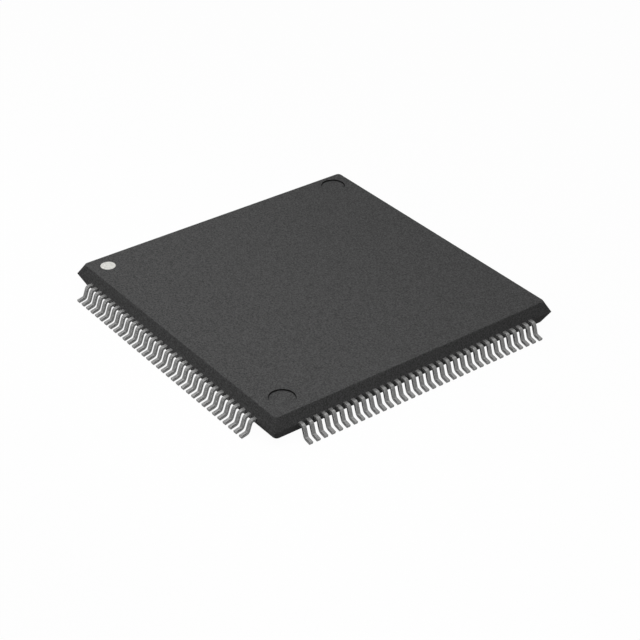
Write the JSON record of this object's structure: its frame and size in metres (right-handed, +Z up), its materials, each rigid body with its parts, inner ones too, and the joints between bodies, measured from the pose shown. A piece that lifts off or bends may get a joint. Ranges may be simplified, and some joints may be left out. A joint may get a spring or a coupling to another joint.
{
  "type": "integrated circuit",
  "caption": "Low-profile quad flat package: a thin square block of black moulding compound with gull-wing leads along all four sides, a dot by pin one and a die on its paddle inside.",
  "frame": {"origin": "middle of the package on the seating plane, where the toes of the leads touch the circuit board", "axes": "+Z up from the board, -X and -Y towards the sides that meet at the pin-one corner; leads count from that corner along the -Y side, then round counter-clockwise as seen from above"},
  "size_m": [0.022, 0.022, 0.0015],
  "materials": {
    "moulding_compound": "moulded, fine spark-eroded grain",
    "tinned_lead": "matt electroplated tin",
    "lead_frame_alloy": "rolled and stamped, bare",
    "silver_epoxy": "cured, silver filled",
    "silicon": "polished",
    "white_ink": "printed, matt"
  },
  "bodies": {
    "root": {"mould_body": "moulding_compound", "lead_row_front": "tinned_lead", "lead_row_right": "tinned_lead", "lead_row_back": "tinned_lead", "lead_row_left": "tinned_lead", "die_paddle": "lead_frame_alloy", "die_attach": "silver_epoxy", "silicon_die": "silicon", "pin_one_dot": "white_ink"}
  },
  "joints": []
}
